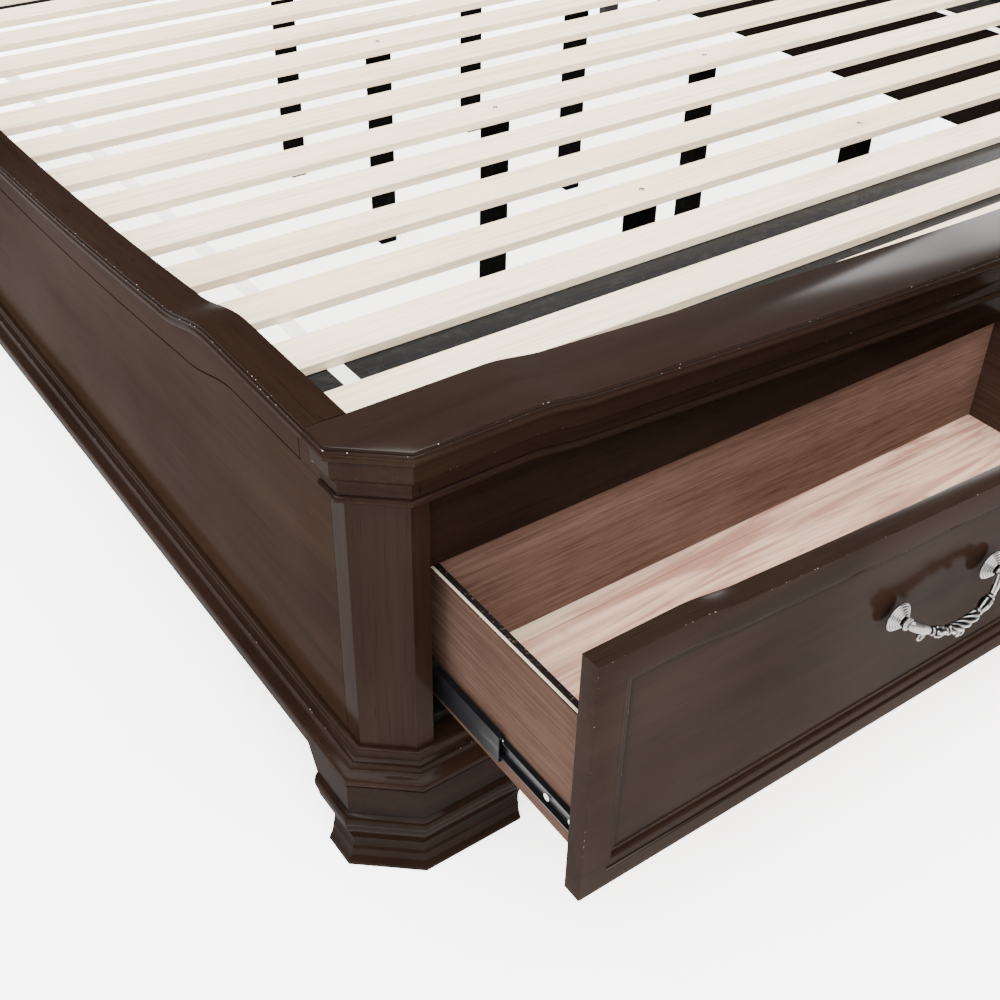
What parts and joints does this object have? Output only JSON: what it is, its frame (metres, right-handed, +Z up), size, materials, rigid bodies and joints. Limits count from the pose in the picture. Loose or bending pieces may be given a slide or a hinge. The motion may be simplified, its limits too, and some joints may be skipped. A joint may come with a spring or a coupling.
{
  "type": "platform bed with storage drawers",
  "caption": "King-size platform bed: dished side rails, canted corner posts on ogee bracket feet, slatted deck, and side-by-side drawers in the footboard.",
  "frame": {"origin": "bottom centre of the bounding box of the whole bed in its rest pose, with the left drawer open", "axes": "+X across the bed to the right seen from the foot, +Y from the foot to the head, +Z up"},
  "size_m": [2.08, 2.3879, 0.555],
  "materials": {
    "dark_walnut": "semi-gloss dark walnut-brown lacquer",
    "black_board": "black-painted board",
    "cream_poplar": "planed, unfinished",
    "brown_veneer": "satin brown veneer",
    "pink_cedar": "planed, unfinished",
    "slide_steel": "black-coated steel",
    "antique_pewter": "antiqued, rubbed bright on the high spots"
  },
  "bodies": {
    "frame": {"corner_post_left": "dark_walnut", "corner_post_right": "dark_walnut", "bracket_foot_left": "dark_walnut", "bracket_foot_right": "dark_walnut", "side_rail_left": "dark_walnut", "side_rail_right": "dark_walnut", "rail_cap_left": "dark_walnut", "rail_cap_right": "dark_walnut", "front_base": "dark_walnut", "footboard_cap": "dark_walnut", "drawer_apron": "dark_walnut", "drawer_divider": "dark_walnut", "slat_ledger_left": "black_board", "slat_ledger_right": "black_board", "cabinet_side_left": "black_board", "cabinet_side_right": "black_board", "cabinet_back": "black_board", "cabinet_top": "black_board", "head_support": "black_board", "slat_foot": "cream_poplar", "slat_01": "cream_poplar", "slat_02": "cream_poplar", "slat_03": "cream_poplar", "slat_04": "cream_poplar", "slat_05": "cream_poplar", "slat_06": "cream_poplar", "slat_07": "cream_poplar", "slat_08": "cream_poplar", "slat_09": "cream_poplar", "slat_10": "cream_poplar", "slat_11": "cream_poplar", "slat_12": "cream_poplar", "slat_13": "cream_poplar", "slat_14": "cream_poplar", "slat_15": "cream_poplar", "slide_cabinet_left_outer": "slide_steel", "slide_cabinet_left_inner": "slide_steel", "slide_cabinet_right_outer": "slide_steel", "slide_cabinet_right_inner": "slide_steel"},
    "slide_middle_left": {"slide_middle_left_outer": "slide_steel", "slide_middle_left_inner": "slide_steel"},
    "drawer_left": {"drawer_front_left": "dark_walnut", "drawer_left_outer_side": "brown_veneer", "drawer_left_inner_side": "brown_veneer", "drawer_left_back": "brown_veneer", "drawer_left_bottom": "pink_cedar", "drawer_pull_left": "antique_pewter", "slide_drawer_left_outer": "slide_steel", "slide_drawer_left_inner": "slide_steel"},
    "slide_middle_right": {"slide_middle_right_outer": "slide_steel", "slide_middle_right_inner": "slide_steel"},
    "drawer_right": {"drawer_front_right": "dark_walnut", "drawer_right_outer_side": "brown_veneer", "drawer_right_inner_side": "brown_veneer", "drawer_right_back": "brown_veneer", "drawer_right_bottom": "pink_cedar", "drawer_pull_right": "antique_pewter", "slide_drawer_right_outer": "slide_steel", "slide_drawer_right_inner": "slide_steel"}
  },
  "joints": [
    {"name": "drawer_left_slide", "type": "slide", "parent": "frame", "child": "drawer_left", "axis": [0, -1, 0], "range_m": [-0.245, 0.035]},
    {"name": "slide_middle_left_slide", "type": "slide", "parent": "frame", "child": "slide_middle_left", "axis": [0, -1, 0], "range_m": [-0.1225, 0.0175]},
    {"name": "drawer_right_slide", "type": "slide", "parent": "frame", "child": "drawer_right", "axis": [0, -1, 0], "range_m": [0, 0.28]},
    {"name": "slide_middle_right_slide", "type": "slide", "parent": "frame", "child": "slide_middle_right", "axis": [0, -1, 0], "range_m": [0, 0.14]}
  ],
  "couplings": [
    {"joint": "slide_middle_left_slide", "follows": "drawer_left_slide", "ratio": 0.5},
    {"joint": "slide_middle_right_slide", "follows": "drawer_right_slide", "ratio": 0.5}
  ]
}
